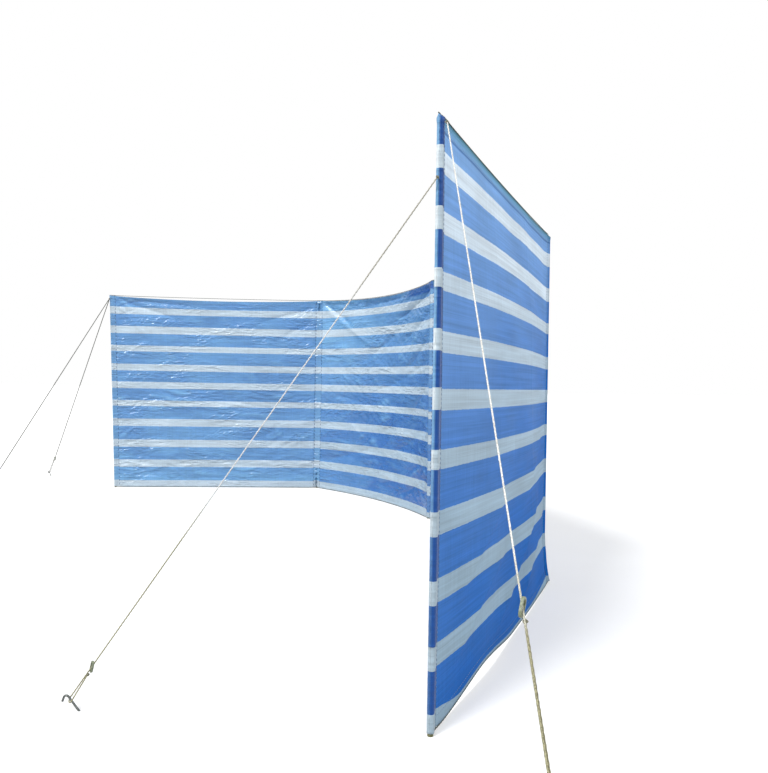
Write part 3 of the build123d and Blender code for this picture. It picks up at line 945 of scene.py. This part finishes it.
for bay in range(BAYS):
    hem_line = (HEM_DEPTH - 0.003) / cloth_height
    for side, sign, thread in (("outer", 1, pale_thread), ("inner", -1, navy_thread_and_pucker_shade)):
        rows = [seam_stitches(bay, 0, sign), seam_stitches(bay, 1, sign)]
        add_piece(f"{side}_seam_stitches_{bay + 1}", *joined(rows), [thread], "striped_cloth")
        rows = [hem_stitches(bay, 1 - hem_line, sign), hem_stitches(bay, hem_line, sign)]
        add_piece(f"{side}_hem_stitches_{bay + 1}", *joined(rows), [pale_thread], "striped_cloth")


# ---- The edge cords ----------------------------------------------------------------------------
def top_cord_line(bay):
    """The top cord's line: it lies on the pockets' closed tops and hangs nearly straight between."""
    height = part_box(f"top_cord_{bay + 1}")[1].z - CORD_RADIUS
    bow, dip = TOP_CORDS[bay]
    beyond = CORD_END / bay_length(bay)
    first, last = -beyond if bay == 0 else 0.001, 1 + beyond if bay == BAYS - 1 else 0.999
    s = np.linspace(first, last, CORD_POINTS)
    shape = 4 * s * (1 - s)
    start, end = pole_at(bay, height), pole_at(bay + 1, height)
    line = start + np.outer(s, end - start)
    line = line + np.outer(shape * bow, outward(bay)) - np.outer(shape * dip, UP)
    near, far = pole_distances(bay, s)
    beyond_seam = np.minimum(near, far)
    rise = np.exp(-np.maximum(beyond_seam, 0) / SEAM_FADE)
    inward = 1 - smooth(-0.015, 0.0, beyond_seam)
    return line + np.outer(rise * TOP_RISE, UP) - np.outer(inward * RIDGE_OFFSET, outward(bay))


def bottom_cord_line(bay):
    """The bottom cord's line, along the bottom hem."""
    s = np.linspace(0.006, 0.994, CORD_POINTS)
    line = bay_surface(bay, s, np.zeros(CORD_POINTS))
    line[:, 2] = CORD_RADIUS * 1.05 + 0.0012 * (1 - smooth(0, 0.05, np.minimum(s, 1 - s)))
    line[:, 2] += bottom_lift(bay, s)
    return line


for bay in range(BAYS):
    for edge, line in (("top", top_cord_line(bay)), ("bottom", bottom_cord_line(bay))):
        points, faces = laid_rope(line, CORD_RADIUS, CORD_PITCH)
        add_piece(f"{edge}_edge_cord_{bay + 1}", points, faces, [edge_cord], "edge_cord",
                  [f"{edge}_cord_{bay + 1}"])


# ---- Guy ropes ---------------------------------------------------------------------------------
def tight_knot(centre, axis):
    """An overhand knot drawn tight, as a rope that goes round its own axis."""
    first = unit(np.cross(axis, UP + 0.3 * axis))
    second = np.cross(axis, first)
    turn = np.linspace(0, math.tau, 60, endpoint=False)
    reach = 0.0019 + 0.0010 * np.cos(3 * turn)
    path = centre + np.outer(reach * np.cos(2 * turn), first) + np.outer(0.0016 * np.sin(3 * turn), axis)
    path = path + np.outer(reach * np.sin(2 * turn), second)
    return laid_rope(np.concatenate([path, path[:2]]), *KNOT_ROPE)


def guy(name, pole, below_top, leave, bearing, reach, tail, roll):
    """A guy rope: from a knot at the pocket to a loop round the peg and back to a knot."""
    ring_middle = pole_at(pole, cloth_high - below_top)
    rope_start = ring_middle + level(leave, KNOT_REACH)
    hook = feet[pole] + level(bearing, reach) + UP * HOOK_HEIGHT
    hook_wire = sloped(level(bearing), UP, PEG_SLOPE)
    up_rope = unit(rope_start - hook)
    across = unit(np.cross(UP, up_rope))
    across = sloped(across, np.cross(up_rope, across), roll)
    normal = np.cross(up_rope, across)
    loop = (PEG_RADIUS + HOOK_PLAY + ROPE_RADIUS) / (hook_wire @ normal)
    span = np.linalg.norm(rope_start - hook)

    def on_plane(x, y):
        return hook + np.multiply.outer(x, up_rope) + np.multiply.outer(y, across)

    # The tail comes up from the loop, closes in on the main strand and is knotted under the runner
    short_reach = tail - RUNNER_LENGTH / 2 - LOWER_KNOT_GAP
    short_aside = loop * (1 - short_reach / span) - STRAND_GAP
    main_turn = math.acos(loop / span)
    short_turn = math.atan2(short_aside, short_reach)
    short_turn += math.tau - math.acos(loop / math.hypot(short_reach, short_aside))
    turn = np.linspace(main_turn, short_turn, 24)
    arc = on_plane(loop * np.cos(turn), loop * np.sin(turn))
    pocket_side = ring_middle + level(leave, POCKET_RADIUS - 0.001)
    lower_knot = on_plane(short_reach, short_aside)
    path = np.concatenate([[pocket_side, rope_start], arc, [lower_knot]])
    parts = [laid_rope(path, ROPE_RADIUS, ROPE_PITCH)]
    if pole == POLES - 1:
        low, high = (tail + FAR_ROPE_GAPS[0]) / span, 1 - FAR_ROPE_GAPS[1] / span
        stretch = arc[0] + np.outer(np.linspace(low, high, 40), rope_start - arc[0])
        parts.append(laid_rope(stretch, *FAR_ROPE))
    stuff = {"near_front": front_rope, "near_side": side_rope}.get(name, shaded_far_rope)
    add_piece(f"{name}_rope", *joined(parts), [stuff], "guy_rope", [f"{name}_guy_rope"])
    knots = [tight_knot(rope_start, up_rope), tight_knot(lower_knot, up_rope)]
    add_piece(f"{name}_knots", *joined(knots), [knot_rope], "guy_rope")


for values in GUYS:
    guy(*values)


# ---- Carried-over pieces -----------------------------------------------------------------------
def dress(node, material, rounding=0.0):
    """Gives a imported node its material, and rounds its edges where asked."""
    obj = frame["nodes"][node]
    obj.data.materials.clear()
    obj.data.materials.append(material)
    if rounding:
        bevel = obj.modifiers.new("rounding", "BEVEL")
        bevel.width = rounding
        bevel.segments = 3
        bevel.limit_method = "ANGLE"
        bevel.angle_limit = math.radians(40)


for pole in range(POLES):
    dress(f"pole_{pole + 1}", steel)
    dress(f"pole_spike_{pole + 1}", spike_stuff)
    dress(f"pole_cap_{pole + 1}", cap_stuff)
for name, *_ in GUYS:
    dress(f"{name}_peg", peg_stuff)
    dress(f"{name}_tensioner", runner_stuff, 0.0009)


# ---- Stage, lights and camera ------------------------------------------------------------------
def seen_directly(n):
    """1 for rays from the camera, also by way of gloss or glass, and 0 for others."""
    path = n.add("ShaderNodeLightPath").outputs
    seen = n.math("MAXIMUM", path["Is Camera Ray"], path["Is Glossy Ray"])
    return n.math("MAXIMUM", seen, path["Is Transmission Ray"])


def add_floor():
    """A pale floor: seen nearly white, and a little darker for the light that it throws back."""
    n = Nodes(bpy.data.materials.new("pale_floor"))
    place = n.add("ShaderNodeNewGeometry").outputs["Position"]
    grain = n.range(n.grain(place, 3.0), 0.3, 0.7, 0.0, 1.0)
    pale = n.blend(grain, (248, 248, 248), (252, 252, 252))
    seen = seen_directly(n)
    matt = n.add("ShaderNodeBsdfDiffuse", Color=n.blend(seen, (186, 186, 184), pale))
    glow = n.add("ShaderNodeEmission")
    floor = n.done(n.mixed(n.math("MULTIPLY", seen, FLOOR_GLOW), matt.outputs[0], glow.outputs[0]))
    corners = [(FLOOR_HALF * x, FLOOR_HALF * y, 0) for x, y in ((-1, -1), (1, -1), (1, 1), (-1, 1))]
    make_object("floor", corners, [(0, 1, 2, 3)], [floor])


def add_world():
    """Even light from all round, behind which the camera sees plain white."""
    n = Nodes(bpy.data.worlds.new("studio"), "ShaderNodeOutputWorld")
    strength = n.range(seen_directly(n), 0.0, 1.0, WORLD_LEVEL, 1.0)
    back = n.add("ShaderNodeBackground", Color=(1, 1, 1, 1), Strength=strength)
    bpy.context.scene.world = n.done(back.outputs[0])


def turned(place, right, above, back):
    """The matrix of a lamp or camera at a place, looking away from back."""
    return Matrix.Translation(place) @ Matrix(np.column_stack([right, above, back]).tolist()).to_4x4()


def add_sun(name, bearing, elevation, power, spread):
    """A soft lamp a long way off, of that width in degrees."""
    light = bpy.data.lights.new(name, "SUN")
    light.energy = power
    light.angle = math.radians(spread)
    obj = bpy.data.objects.new(name, light)
    back = sloped(level(bearing), UP, elevation)
    right = unit(np.cross(UP, back))
    obj.matrix_world = turned(back * 8, right, np.cross(back, right), back)
    bpy.context.scene.collection.objects.link(obj)


def add_camera():
    """Stands at the near end, looking along +Y, turned a little about its own line of sight."""
    ahead = sloped(level(90), UP, CAMERA_PITCH)
    right, above = level(0), np.cross(level(0), ahead)
    data = bpy.data.cameras.new("camera")
    data.lens = CAMERA_LENS
    data.sensor_width = 36.0
    data.clip_start, data.clip_end = 0.05, 200.0
    obj = bpy.data.objects.new("camera", data)
    obj.matrix_world = turned(CAMERA_PLACE, sloped(right, above, CAMERA_ROLL),
                              sloped(above, -right, CAMERA_ROLL), -ahead)
    bpy.context.scene.collection.objects.link(obj)
    bpy.context.scene.camera = obj


add_floor()
add_world()
for sun in SUNS:
    add_sun(*sun)
add_camera()
bpy.context.scene.view_settings.view_transform = "Standard"
